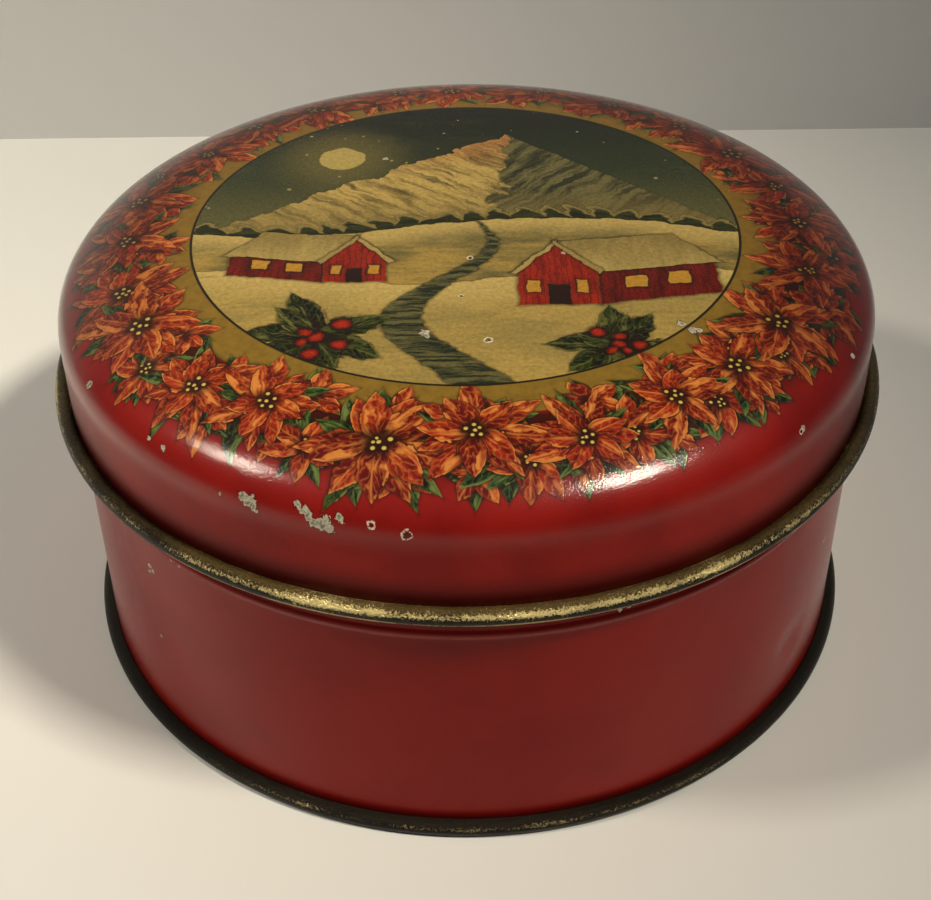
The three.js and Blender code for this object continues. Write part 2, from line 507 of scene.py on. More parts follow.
# Chips and flakes: angle from the front, distance from the lid's middle or height on the wall, and radius
LID_CHIPS = [
    (-27.7, 77.3, 0.8), (-26.9, 77.6, 1.1), (-26.1, 78.5, 0.6), (-25.7, 79.1, 0.4), (-20.3, 76.2, 0.7),
    (-19.5, 76.8, 0.8), (-19.0, 77.6, 0.7), (-18.2, 78.6, 0.8), (-17.2, 78.4, 1.1), (-16.4, 78.9, 0.9),
    (-16.8, 77.4, 0.6), (-15.1, 76.9, 0.7), (-59, 75.4, 0.7), (-43.6, 75.2, 0.4), (-40.8, 75.5, 0.5),
    (-30.9, 78.3, 0.35), (46.6, 76.8, 0.5), (63, 74.7, 0.5), (47.2, 51.2, 0.8), (48.0, 51.9, 0.6),
    (122, 76.0, 0.9), (123.2, 76.8, 0.6), (171, 77.4, 1.0), (-140, 76.4, 0.8),
]
LID_FLAKES = [(-11.3, 77.4, 0.7), (-7.1, 78.4, 0.9), (46.0, 77.0, 0.5), (150, 78.0, 0.8), (-101, 77.0, 0.6)]
PICTURE_CHIPS = [(-11, 35.8, 0.9), (-10.2, 36.6, 0.6), (60, 20, 0.4), (47.4, 48.6, 0.7), (-150, 31, 0.5)]
PICTURE_FLAKES = [(5.4, 37.6, 0.8), (3.9, 11.4, 0.6), (-2, 24, 0.5)]
BODY_CHIPS = [
    (-48.1, 40.6, 0.5), (-47.6, 39.9, 0.4), (-48.4, 39.2, 0.35), (-48.5, 23.4, 0.3), (-42.2, 46.8, 0.35),
    (-40.9, 46.4, 0.25), (18.8, 48.6, 0.4), (20.0, 48.8, 0.3), (96, 12.0, 0.6), (97.2, 12.8, 0.4),
    (-120, 30.0, 0.5), (160, 42.0, 0.5),
]
BODY_FLAKES = [(61, 33.0, 0.5), (-83, 9.0, 0.6), (140, 20.0, 0.6)]


def print_finish():
    """The lid's red ground, gold ring and garland."""
    finish = Finish("garland_print")
    flat = finish.flat_print()
    x, y, _ = finish.split(flat)
    out = length_of(x, y)
    cloud = finish.noise(flat, 0.07, 3.0)
    colour = finish.mix(cloud.smooth(0.35, 0.7) * 0.6, LID_RED, RED_DEEP)
    mottle = finish.noise(flat, 0.5, 4.0, 0.65)
    gold = finish.mix(mottle.smooth(0.35, 0.7) * 0.6, GOLD, GOLD_DULL)
    in_ring = out.smooth(GOLD_RING_RADIUS + PRINT_EDGE, GOLD_RING_RADIUS - PRINT_EDGE)
    colour = finish.mix(in_ring, colour, gold)
    edge = out + (cloud - 0.5) * 4.0
    under = edge.smooth(56.6, 58.5) * edge.smooth(72.5, 66.0)
    colour = finish.mix(under * 0.9, colour, SHADE)
    colour = painted_garland(finish, colour, x, y, finish.noise(flat, 0.4, 2.0))
    line_edge = PICTURE_RADIUS + LINE_WIDTH
    colour = finish.mix(out.smooth(line_edge + PRINT_EDGE, line_edge - PRINT_EDGE), colour, LINE)
    above_rim = finish.split(finish.place())[2] - (RIM_HEIGHT + RIM_ROLL)
    # Painted shade on the skirt just above the rim bead
    low = above_rim + (cloud - 0.5) * 1.6
    colour = finish.mix(low.smooth(6.5, -0.5) * 0.85, colour, CORNER_SHADE)
    # Painted shade: the garland is darker towards both sides and the back, and the gold ring less so
    aside = x * 0.2 + abs(x) * 1.1 + y * 0.7
    darkened = aside.smooth(10, 75) * (out.smooth(51, 59) * 0.75 + 0.25)
    colour = finish.mix(darkened, colour, finish.mix(1.0, colour, SIDE_SHADE, "MULTIPLY"))
    colour, bare = worn(finish, colour, x, y, flat, on_lid(LID_CHIPS), on_lid(LID_FLAKES))
    shoulder = above_rim.smooth(SKIRT_HEIGHT - 5, SKIRT_HEIGHT + 2) * (out.smooth(60, 68) * 0.7 + 0.15)
    glossy_print(finish, colour, flat, bare, coat=shoulder, roughness=0.3)
    return finish.material


# The winter picture in the middle of the lid, in millimetres from its middle
MOON = (-24, 27)
PEAK = (8, 37)


def polygon(nodes, x, y, corners):
    """How far a point lies inside a convex outline, whose corners run anticlockwise."""
    inside = None
    for (ax, ay), (bx, by) in zip(corners, corners[1:] + corners[:1]):
        size = math.hypot(bx - ax, by - ay)
        nx, ny = (ay - by) / size, (bx - ax) / size
        here = nodes.math("MULTIPLY_ADD", x, nx, nodes.math("MULTIPLY_ADD", y, ny, -ax * nx - ay * ny))
        inside = inside.min(here) if inside else here
    return inside


def rectangle(left, right, low, high):
    return [(left, low), (right, low), (right, high), (left, high)]


def layer(nodes, below, colour, inside, shadow):
    """Paints a shape over what is below, with a soft shadow round it."""
    shaded = nodes.mix(inside.smooth(-0.8, 0.1) * shadow, below, srgb(30, 28, 18))
    return nodes.mix(inside.smooth(-0.05, 0.15), shaded, colour)


def painted_sky(nodes, x, y, flat):
    """Night sky with a moon and snowflakes."""
    streaks = nodes.noise(nodes.join(x * 0.03, y * 0.11), 1.0, 4.0, 0.6)
    colour = nodes.mix((y + 2).smooth(0, 26), srgb(116, 120, 88), srgb(58, 74, 58))
    colour = nodes.mix(y.smooth(18, 48), colour, srgb(24, 34, 28))
    colour = nodes.mix(streaks.smooth(0.5, 0.75) * 0.45, colour, srgb(96, 104, 82))
    from_moon = length_of(x - MOON[0], y - MOON[1])
    colour = nodes.mix(from_moon.smooth(17, 4) * 0.5, colour, srgb(158, 152, 104))
    colour = nodes.mix(from_moon.smooth(4.6, 4.3), colour, srgb(224, 210, 150))
    flake, luck = nodes.specks(flat, 0.3)
    size = luck * 0.36 + 0.1
    return nodes.mix((size - flake).smooth(-0.05, 0.12) * 0.85, colour, srgb(214, 208, 176))


def painted_mountain(nodes, colour, x, y):
    """A snowy mountain, lit from the left."""
    crag = nodes.noise(nodes.join(x, y), 0.11, 4.0, 0.6) - 0.5
    right = x - PEAK[0] + crag * 7
    top = PEAK[1] - (right * 0.92).max(right * -0.7)
    inside = top - y + crag * 5
    left_slope = nodes.noise(nodes.join((y + right * 0.9) * 0.42, (y - right) * 0.05), 1.0, 3.0, 0.65)
    right_slope = nodes.noise(nodes.join((y - right * 1.1) * 0.42, (y + right) * 0.05, 7.0), 1.0, 3.0, 0.65)
    lit = nodes.mix(left_slope.smooth(0.42, 0.62), srgb(240, 218, 154), srgb(160, 146, 100))
    lit = nodes.mix((y + crag * 10).smooth(20, 34) * 0.5, lit, srgb(222, 142, 100))
    lit = nodes.mix(left_slope.smooth(0.58, 0.72) * 0.8, lit, srgb(84, 78, 52))
    dim = nodes.mix(right_slope.smooth(0.38, 0.62), srgb(138, 138, 106), srgb(58, 66, 52))
    face = nodes.mix((right + (PEAK[1] - y) * 0.1 + crag * 16).smooth(-0.8, 0.8), lit, dim)
    face = nodes.mix(y.smooth(16, -2) * 0.75, face, srgb(160, 148, 104))
    return layer(nodes, colour, face, inside, 0.3)


def painted_land(nodes, colour, x, y):
    """Bushes, two snowy slopes and a stream."""
    roll = nodes.noise(nodes.join(x * 0.05, y * 0.11), 1.0, 3.0, 0.55)
    brush = nodes.noise(nodes.join(x * 0.12, y * 0.9), 1.0, 3.0, 0.6)
    far_top = (x / 15.0 + 0.7).sin() * 3.0 + (roll - 0.5) * 5.0
    bush = far_top + 1.6 + abs((x * 0.62 + roll * 9.0).sin()) * 2.6 + (brush - 0.5) * 2.0
    green = nodes.mix(brush.smooth(0.35, 0.65), srgb(26, 34, 20), srgb(66, 76, 42))
    green = nodes.mix((bush - y).smooth(1.4, 0.5) * 0.8, green, srgb(186, 174, 124))
    colour = layer(nodes, colour, green, bush - y, 0.4)
    snow = nodes.mix((roll * 1.4 + brush * 0.6).smooth(0.75, 1.2), CREAM, srgb(138, 134, 98))
    far_snow = nodes.mix((far_top - y).smooth(0.0, 9.0), srgb(236, 218, 160), snow)
    colour = layer(nodes, colour, far_snow, far_top - y, 0.2)
    near_top = (x / 12.0 - 1.1).sin() * 2.6 - 17 + (roll - 0.5) * 4.0
    near_snow = nodes.mix(0.5, snow, srgb(232, 212, 148))
    near = nodes.mix((near_top - y).smooth(0.0, 12.0), srgb(244, 226, 168), near_snow)
    near = nodes.mix(brush.smooth(0.58, 0.74) * 0.4, near, srgb(132, 126, 90))
    colour = layer(nodes, colour, near, near_top - y, 0.35)
    middle = ((y + 18) / 8.0).sin() * 8.0 - 3
    stream = ((y * -0.1 + 0.4).max(0.0) - abs(x - middle)).min((far_top - y) * 0.5)
    water = nodes.mix(brush.smooth(0.4, 0.62), srgb(44, 58, 50), srgb(128, 130, 98))
    return layer(nodes, colour, water, stream + (brush - 0.5) * 1.2, 0.7)


def painted_house(nodes, colour, x, y, left, ground, width, height, depth):
    """A red timber house seen from a corner: its gable end, long side and snowy roof.

    Its long side is on the right of its gable, or on the left where depth is negative.
    """
    direction = 1 if depth > 0 else -1
    x = (x - left) * direction
    y = y - ground
    reach = abs(depth)
    rise = reach * 0.18
    peak = height + width * 0.62
    planks = abs((x * 0.9).mod(1.0) - 0.5).smooth(0.36, 0.46)
    grime = nodes.noise(nodes.join(x * 0.5, y * 0.12), 1.0, 3.0, 0.6)
    gable = nodes.mix(grime.smooth(0.35, 0.7), srgb(198, 52, 28), srgb(146, 30, 17))
    gable = nodes.mix(planks * 0.55, gable, srgb(70, 16, 10))
    flank = nodes.mix(grime.smooth(0.35, 0.7), srgb(142, 30, 16), srgb(92, 18, 10))
    flank = nodes.mix(planks * 0.4, flank, srgb(40, 10, 8))
    side = [(width, 0), (width + reach, rise), (width + reach, height + rise * 0.8), (width, height)]
    colour = layer(nodes, colour, flank, polygon(nodes, x, y, side), 0.6)
    front = [(0, 0), (width, 0), (width, height), (width / 2, peak), (0, height)]
    colour = layer(nodes, colour, gable, polygon(nodes, x, y, front), 0.6)
    lamp = srgb(232, 184, 84)
    door = rectangle(width * 0.36, width * 0.64, 0, height * 0.55)
    colour = layer(nodes, colour, srgb(46, 20, 12), polygon(nodes, x, y, door), 0.3)
    for start in (0.12, 0.72):
        pane = rectangle(width * start, width * (start + 0.16), height * 0.32, height * 0.66)
        colour = layer(nodes, colour, lamp, polygon(nodes, x, y, pane), 0.8)
    for share in (0.22, 0.58):
        base = rise * share
        near = width + reach * share
        far = width + reach * (share + 0.18)
        pane = [(near, base + height * 0.36), (far, base + height * 0.38),
                (far, base + height * 0.7), (near, base + height * 0.68)]
        colour = layer(nodes, colour, lamp, polygon(nodes, x, y, pane), 0.8)
    eave = 1.3
    middle = width / 2
    drifts = (grime * 0.7 + (y - height) * 0.04).smooth(0.2, 0.8)
    snow = nodes.mix(drifts, srgb(222, 206, 152), srgb(172, 158, 112))
    roof = [(width + eave, height - eave * 1.2), (width + reach + eave, height + rise * 0.8 - eave),
            (middle + reach, peak + rise * 0.7), (middle, peak + 0.4)]
    colour = layer(nodes, colour, snow, polygon(nodes, x, y, roof), 0.7)
    left_verge = [(-eave, height - eave * 1.2), (-eave + 0.9, height - eave * 1.7),
                  (middle + 0.6, peak - 0.4), (middle + 0.3, peak + 1.0)]
    colour = layer(nodes, colour, srgb(214, 198, 146), polygon(nodes, x, y, left_verge), 0.7)
    right_verge = [(middle - 0.3, peak + 0.9), (middle - 0.3, peak - 0.4),
                   (width + eave - 0.9, height - eave * 1.7), (width + eave, height - eave)]
    return layer(nodes, colour, srgb(196, 180, 128), polygon(nodes, x, y, right_verge), 0.7)


def painted_holly(nodes, colour, x, y, mottle, middle, turn, size, seed):
    """A sprig of dark leaves with red berries."""
    right = x - middle[0]
    back = y - middle[1]
    reach = length_of(right, back)
    bearing = nodes.math("ARCTAN2", back, right) + turn
    for k, (petals, share) in enumerate([(6, 1.0), (4, 0.8)]):
        colour = nodes.use(
            petal_ring, Reach=reach, Bearing=bearing + 0.6 * k, Count=petals,
            Length=15 * size * share, Width=3.4 * size * share, Seed=float(seed + k), Mottle=mottle,
            Below=colour, Deep=srgb(18, 28, 16), Bright=srgb(62, 84, 42), Vein=srgb(140, 146, 92))
    return nodes.use(
        stamens, Reach=reach, Bearing=bearing, Size=2.4 * size, Seed=float(seed),
        Below=colour, Deep=srgb(104, 16, 12), Bright=srgb(206, 58, 36))


def picture_finish():
    """The lid's round picture, aged under its varnish."""
    finish = Finish("lid_picture")
    flat = finish.flat_print()
    plain_x, plain_y, _ = finish.split(flat)
    out = length_of(plain_x, plain_y)
    x = plain_x + (finish.noise(flat, 0.3, 3.0) - 0.5) * 1.6
    y = plain_y + (finish.noise(finish.join(plain_x, plain_y, 20.0), 0.3, 3.0) - 0.5) * 1.6
    colour = painted_sky(finish, x, y, flat)
    colour = painted_mountain(finish, colour, x, y)
    colour = painted_land(finish, colour, x, y)
    colour = painted_house(
        finish, colour, x, y, left=9.0, ground=-27.0, width=14.0, height=12.0, depth=21.0)
    colour = painted_house(
        finish, colour, x, y, left=-14.0, ground=-19.0, width=11.0, height=8.5, depth=-17.0)
    mottle = finish.noise(flat, 0.4, 2.0)
    colour = painted_holly(finish, colour, x, y, mottle, middle=(-25.0, -36.0), turn=0.4, size=0.9, seed=31)
    colour = painted_holly(finish, colour, x, y, mottle, middle=(25.0, -39.0), turn=1.3, size=0.8, seed=47)
    brush = finish.noise(flat, 1.2, 3.0, 0.7)
    varnish = finish.mix(brush.smooth(0.25, 0.75), srgb(166, 148, 102), srgb(206, 188, 138))
    colour = finish.mix(0.9, colour, varnish, "MULTIPLY")
    colour = finish.mix(out.smooth(PICTURE_RADIUS - PRINT_EDGE, PICTURE_RADIUS + PRINT_EDGE), colour, LINE)
    chips = on_lid(PICTURE_CHIPS)
    flakes = on_lid(PICTURE_FLAKES)
    colour, bare = worn(finish, colour, plain_x, plain_y, flat, chips, flakes)
    glossy_print(finish, colour, flat, bare, coat=0.15, roughness=0.2)
    return finish.material


# Plain finishes
def red_finish():
    """The body's plain red print."""
    finish = Finish("red_print")
    place = finish.place()
    x, y, z = finish.split(place)
    cloud = finish.noise(place, 0.05, 3.0)
    colour = finish.mix(cloud.smooth(0.35, 0.75) * 0.6, RED, RED_DEEP)
    height = z + (cloud - 0.5) * 2.0
    # Painted shade above the foot, and a painted shadow of the lid's rim across the wall from the ridge up
    # to the rim bead
    low = height.smooth(5.5, 2.2)
    high = height.smooth(RIDGE_HEIGHT + RIDGE_WIDTH / 2, RIM_HEIGHT - RIM_ROLL)
    high = high * height.smooth(RIM_HEIGHT + 3, RIM_HEIGHT - 0.5)
    colour = finish.mix(low.max(high * 0.7) * 0.8, colour, CORNER_SHADE)
    around = finish.math("ARCTAN2", x, 0 - y) * BODY_RADIUS
    scuffs = finish.noise(finish.join(around * 0.9, z * 0.05), 1.0, 4.0, 0.7)
    under_lid = z.smooth(RIM_HEIGHT, RIM_HEIGHT + 5)
    colour = finish.mix(scuffs.smooth(0.55, 0.7) * under_lid * 0.45, colour, RED_RUBBED)
    colour, bare = worn(finish, colour, around, z, place, on_body(BODY_CHIPS), on_body(BODY_FLAKES))
    mouth = (z + (scuffs - 0.5) * 3).smooth(BODY_TOP - 1.1, BODY_TOP - 0.5)
    colour = finish.mix(mouth, colour, BARE_DULL)
    glossy_print(finish, colour, place, bare.max(mouth), coat=0.0, roughness=0.14)
    return finish.material


def gold_finish(name, bright, dark, tarnish, gloss):
    """Gold lacquer on tinplate, browned and pitted."""
    finish = Finish(name)
    place = finish.place()
    cloud = finish.noise(place, 0.12, 4.0, 0.65)
    pits = finish.noise(place, 1.3, 4.0, 0.7)
    darkened = (cloud * 0.5 + pits * 0.7).smooth(tarnish - 0.12, tarnish + 0.12)
    finish.set(Base_Color=finish.mix(darkened, bright, dark), Metallic=0.9)
    finish.set(Roughness=finish.blend(darkened, gloss, gloss + 0.25))
    finish.set(Normal=finish.bump(pits, 0.0003, 0.6))
    return finish.material


def bead_finish(name, crest, half, worn_and_glint_colour, dull_colour, dark_colour, wear_and_glint):
    """A rolled edge: painted shade darkens its lower half and its sides, worn bright specks that are also a
    painted highlight run along its top, and a line at its foot is a painted reflection of the floor.
    """
    finish = Finish(name)
    place = finish.place()
    x, _, z = finish.split(place)
    height = (z - crest) / half
    aside = abs(x).smooth(25, 70)
    cloud = finish.noise(place, 0.06, 3.0, 0.6)
    pits = finish.noise(place, 2.6, 3.0, 0.8)
    # Painted shade: darker on the lower half and towards the sides, broken by mottling
    upper_lit = (height + (cloud - 0.5) * 1.6 + (pits - 0.5) * 2.4 - aside * 0.5).smooth(0.0, 1.0)
    colour = finish.mix(upper_lit, dark_colour, dull_colour)
    # Worn bright specks along the top, partly a painted highlight, fewer towards the sides
    top = height.smooth(0.05, 0.5) * height.smooth(1.1, 0.6)
    rubbed_and_glint = (top * 0.5 + pits * 2.0 + cloud * 1.2 + wear_and_glint - aside * 0.3).smooth(2.12, 2.5)
    # Painted reflection of the floor: a bright line at the foot of the bead
    foot = height.smooth(-0.25, -0.36) * height.smooth(-0.75, -0.6) * (pits + cloud).smooth(0.8, 1.1)
    rubbed_and_glint = rubbed_and_glint.max(foot * wear_and_glint * 2.5)
    finish.set(Base_Color=finish.mix(rubbed_and_glint, colour, worn_and_glint_colour), Metallic=finish.blend(rubbed_and_glint, 0.3, 0.6))
    finish.set(Roughness=finish.blend(rubbed_and_glint, 0.34, 0.24), Specular_IOR_Level=0.25)
    finish.set(Normal=finish.bump(pits, 0.0004, 0.7))
    return finish.material


def steel_finish():
    """Drawn wire."""
    finish = Finish("wire_steel")
    streaks = finish.noise(finish.place(), 0.9, 3.0)
    finish.set(Base_Color=finish.mix(streaks, srgb(120, 116, 108), srgb(84, 76, 66)), Metallic=1.0)
    finish.set(Roughness=streaks * 0.3 + 0.3)
    return finish.material


# Turned meshes
def arc(radius_of_centre, height_of_centre, radius, start, end, steps):
    angles = np.radians(np.linspace(start, end, steps + 1))
    radii = radius_of_centre + radius * np.cos(angles)
    heights = height_of_centre + radius * np.sin(angles)
    return list(zip(radii, heights))


def line(start, end, steps):
    """Points from start towards end, without the end itself."""
    shares = np.arange(steps) / steps
    return [tuple(np.array(start) + (np.array(end) - np.array(start)) * share) for share in shares]


def sides(path):
    """Points on the left and on the right of a sheet whose middle follows a path."""
    middle = np.array(path)
    ways = np.diff(middle, axis=0)
    ways /= np.linalg.norm(ways, axis=1)[:, None]
    before = np.vstack([ways[:1], ways])
    after = np.vstack([ways, ways[-1:]])
    normal = before + after
    normal = np.column_stack([-normal[:, 1], normal[:, 0]])
    normal /= np.linalg.norm(normal, axis=1)[:, None]
    across = np.column_stack([-before[:, 1], before[:, 0]])
    reach = HALF_SHEET / (normal * across).sum(1)
    return middle + normal * reach[:, None], middle - normal * reach[:, None]


def even_angles():
    return np.arange(AROUND) * TURN / AROUND


def bump_shape(value, middle, half):
    """1 at the middle, falling smoothly to 0 at the half width."""
    share = np.clip(1 - np.abs(value - middle) / half, 0, 1)
    return share * share * (3 - 2 * share)


# Dents in the body: angle from the front, height, half width, half height and depth
DENTS = [(52.7, 16.4, 7.0, 6.0, 0.5), (-104.0, 24.0, 11.0, 9.0, 0.35), (148.0, 13.0, 6.0, 5.0, 0.3)]
WAVE_DEPTH = 0.09
WAVE_START = 4.0
WAVE_FADE = 6.0
SEAM_FADE = 0.2
SEAM_EDGE = 0.06


def body_shape(radius, height, angle, inner):
    """The wall's waves, dents and locked side seam, whose folds lie inside and whose edge shows outside."""
    on_wall = np.clip((height - WAVE_START) / WAVE_FADE, 0, 1)
    on_wall = on_wall * np.clip((RIDGE_HEIGHT - 2.0 - height) / WAVE_FADE, 0, 1)
    waves = np.sin(angle * 5 + 0.7) * np.cos(height * 0.11 + 1.2) + np.sin(angle * 9 - height * 0.07)
    radius = radius + (waves - 2) * 0.25 * WAVE_DEPTH * on_wall
    for middle, level, width, tall, depth in DENTS:
        beside = (angle - math.radians(middle) + math.pi) % TURN - math.pi
        dent = bump_shape(beside * BODY_RADIUS, 0, width) * bump_shape(height, level, tall)
        radius = radius - depth * dent
    beside = (angle - math.pi) * BODY_RADIUS
    low = PANEL_RISE + SHEET + PANEL_STEP + SEAM_END_GAP
    high = BODY_TOP - 2 * MOUTH_ROLL - SEAM_END_GAP
    seamed = np.clip((height - low) / SEAM_FADE, 0, 1) * np.clip((high - height) / SEAM_FADE, 0, 1)
    folds = np.abs(beside) < SEAM_WIDTH / 2
    groove = np.clip(1 - beside / SEAM_WIDTH, 0, 1) * (beside > 0)
    return radius - seamed * np.where(inner, SEAM_FOLDS * SHEET * folds, SEAM_STEP * groove)


def body_angles():
    """Even angles, with pairs close together at the seam's edges."""
    edges = np.array([-SEAM_WIDTH / 2, SEAM_WIDTH / 2, 0.0])
    close = np.concatenate([edges - SEAM_EDGE, edges + SEAM_EDGE]) / BODY_RADIUS + math.pi
    even = even_angles()
    clear = np.abs(even[:, None] - close[None]).min(1) > SEAM_CLEARANCE / BODY_RADIUS
    return np.sort(np.concatenate([even[clear], close]))


def turned(name, outline, numbers, finishes, angles, shape=None, along=None):
    """Closed mesh turned round Z from an outline of (radius, height), with a finish for each stretch.

    Where along is given, each point keeps its place on the flat print: that far from the middle.
    """
    outline = np.array(outline)
    numbers = np.array(numbers)
    count = len(angles)
    radius, angle = np.meshgrid(outline[:, 0], angles, indexing="ij")
    height = np.repeat(outline[:, 1:], count, axis=1)
    if shape:
        radius = shape(radius, height, angle)
    points = np.stack([radius * np.sin(angle), -radius * np.cos(angle), height], -1) * MM
    on_axis = outline[:, 0] < 1e-6
    first = np.concatenate([[0], np.cumsum(np.where(on_axis, 1, count))])
    index = first[:-1, None] + np.where(on_axis[:, None], 0, np.arange(count))
    following = np.roll(outline, -1, axis=0)
    winding = 1 if (outline[:, 0] * following[:, 1] - outline[:, 1] * following[:, 0]).sum() > 0 else -1
    faces = []
    face_numbers = []
    for low, high, number in zip(range(len(outline)), np.roll(range(len(outline)), -1), numbers):
        if on_axis[low] and on_axis[high]:
            continue
        corners = [index[low], np.roll(index[low], -1), np.roll(index[high], -1), index[high]]
        if on_axis[low]:
            corners.pop(1)
        if on_axis[high]:
            corners.pop(2)
        faces += np.stack(corners, -1)[:, ::winding].tolist()
        face_numbers += [number] * count
    keep = ~on_axis[:, None] | (np.arange(count) == 0)
    mesh = bpy.data.meshes.new(name)
    mesh.from_pydata(points[keep].tolist(), [], faces)
    mesh.polygons.foreach_set("material_index", np.array(face_numbers, np.int32))
    mesh.polygons.foreach_set("use_smooth", np.ones(len(faces), bool))
    if along is not None:
        reach = np.array(along)[:, None]
        flat = np.stack([reach * np.sin(angle), -reach * np.cos(angle), 0 * angle], -1)
        attribute = mesh.attributes.new("print", "FLOAT_VECTOR", "POINT")
        attribute.data.foreach_set("vector", flat[keep].astype(np.float32).ravel())
    for finish in finishes:
        mesh.materials.append(finish)
    mesh.set_sharp_from_angle(angle=math.radians(SHARP_ANGLE))
    piece = bpy.data.objects.new(name, mesh)
    bpy.context.scene.collection.objects.link(piece)
    return piece


def dome_path(edge):
    """Middle of the dome's sheet, with one point at the picture's edge."""
    radius = LID_RADIUS - HALF_SHEET
    flat = np.array([*np.linspace(0, FLAT_SHARE, FLAT_STEPS) * radius, edge])
    angles = np.linspace(0, math.pi / 2, DOME_STEPS + 1)
    steep = radius * np.sin(angles) ** (2 / DOME_POWER)
    radii = np.sort(np.concatenate([flat, steep[steep > edge + EDGE_CLEARANCE]]))
    fall = np.sqrt(np.clip(1 - (radii / radius) ** DOME_POWER, 0, 1))
    heights = DOME_START + (DOME_RISE - HALF_SHEET) * fall
    return list(zip(radii, heights))


def make_lid(print_material, picture, gold):
    """The dome and the skirt, down to the rim bead."""
    skirt = LID_RADIUS - HALF_SHEET
    edge = PICTURE_RADIUS + LINE_WIDTH / 2
    path = dome_path(edge)
    path += line((skirt, DOME_START), (skirt, RIM_HEIGHT), SKIRT_STEPS)[1:] + [(skirt, RIM_HEIGHT)]
    outer, inner = sides(path)
    outer[0, 0] = inner[0, 0] = 0
    along = np.concatenate([[0], np.cumsum(np.hypot(*np.diff(outer, axis=0).T))])
    printed, pictured, inside = range(3)
    numbers = [inside] * len(path) + [pictured if radius < edge - 0.01 else printed for radius, _ in path]
    return turned("lid", [*inner[::-1], *outer], numbers, [print_material, picture, gold],
                  even_angles(), along=[*along[::-1], *along])


def make_rim(finish):
    """The skirt's edge, rolled outwards round the wire."""
    middle = RIM_ROLL - HALF_SHEET
    centre = LID_RADIUS - HALF_SHEET + middle
    end = math.degrees(math.acos((LID_RADIUS + FIT_GAP - centre) / RIM_ROLL))
    left, right = sides(arc(centre, RIM_HEIGHT, middle, 180, 360 + end, 2 * ROLL_STEPS))
    outline = [*right, *left[::-1]]
    return turned("lid_rim_bead", outline, [0] * len(outline), [finish], even_angles())


def make_body(red, gold):
    """The wall, from the flange in the foot's seam to the rolled mouth."""
    wall = BODY_RADIUS - HALF_SHEET
    foot_centre = BODY_RADIUS + FOOT_PROUD - FOOT_ROLL
    flange = SHEET + FIT_GAP + HALF_SHEET
    bend = FLANGE_BEND
    mouth = MOUTH_ROLL - HALF_SHEET
    mouth_centre = wall - mouth
    end = 360 - math.degrees(math.acos((BODY_RADIUS - SHEET - FIT_GAP - mouth_centre) / MOUTH_ROLL))
    ridge = [(wall + RIDGE_PROUD * (0.5 + 0.5 * math.cos(math.pi * t)), RIDGE_HEIGHT + t * RIDGE_WIDTH / 2)
             for t in np.linspace(-1, 1, RIDGE_STEPS + 1)]
    path = [(foot_centre, flange)]
    path += arc(wall + bend, flange + bend, bend, 270, 180, BEND_STEPS)
    path += line((wall, flange + bend), (wall, ridge[0][1]), WALL_STEPS)[1:]
    path += ridge
    path += line(ridge[-1], (wall, BODY_TOP - MOUTH_ROLL), UPPER_WALL_STEPS)[1:]
    path += arc(mouth_centre, BODY_TOP - MOUTH_ROLL, mouth, 0, end, ROLL_STEPS)
    inner, outer = sides(path)
    numbers = [0] * len(path) + [1] * len(path)
    inside = np.array(numbers)[:, None] == 1
    return turned("body", [*outer, *inner[::-1]], numbers, [red, gold], body_angles(),
                  shape=lambda radius, height, angle: body_shape(radius, height, angle, inside))


def make_bottom(gold, bead):
    """The bottom, whose edge is rolled round the wall's flange as the foot."""
    chuck = BODY_RADIUS - SHEET - FIT_GAP - HALF_SHEET
    panel = PANEL_RISE + HALF_SHEET
    step = chuck - PANEL_STEP_INSET
    roll = FOOT_ROLL - HALF_SHEET
    centre = BODY_RADIUS + FOOT_PROUD - FOOT_ROLL
    path = [(0, panel + PANEL_STEP), (step * 0.5, panel + PANEL_STEP)]
    path += [(step - PANEL_STEP_RUN, panel + PANEL_STEP), (step, panel), (chuck - PANEL_BEND, panel)]
    path += [(chuck, panel - PANEL_BEND), (chuck, HALF_SHEET + FOOT_BEND), (chuck + FOOT_BEND, HALF_SHEET)]
    path += arc(centre, FOOT_ROLL, roll, -90, 90, ROLL_STEPS)
    path += [(BODY_RADIUS + FIT_GAP, 2 * FOOT_ROLL - HALF_SHEET)]
    left, right = sides(path)
    left[0, 0] = right[0, 0] = 0
    numbers = [0 if radius < chuck else 1 for radius, _ in path]
    outline = [*right, *left[::-1]]
    return turned("bottom_and_foot", outline, numbers + numbers[::-1], [gold, bead], even_angles())


# Stage, lamps and camera, in metres
WALL_BEHIND = 0.196
WALL_HEIGHT = 0.6
STAGE_REACH = 12.0
FLOOR_COLOUR = srgb(244, 242, 238)
WALL_COLOUR = srgb(222, 222, 222)


def one_sided(name, colour, roughness):
    """A plain finish that shows from its front only, so that the stage hides the tin from no side."""
    finish = Finish(name)
    finish.set(Base_Color=colour, Roughness=roughness)
    clear = finish.node("ShaderNodeBsdfTransparent")
    sides_mixed = finish.node("ShaderNodeMixShader")
    finish.feed(sides_mixed.inputs[0], finish.node("ShaderNodeNewGeometry").outputs["Backfacing"])
    finish.feed(sides_mixed.inputs[1], finish.shader.outputs["BSDF"])
    finish.feed(sides_mixed.inputs[2], clear.outputs["BSDF"])
    finish.feed(finish.tree.nodes["Material Output"].inputs["Surface"], sides_mixed.outputs[0])
    return finish.material


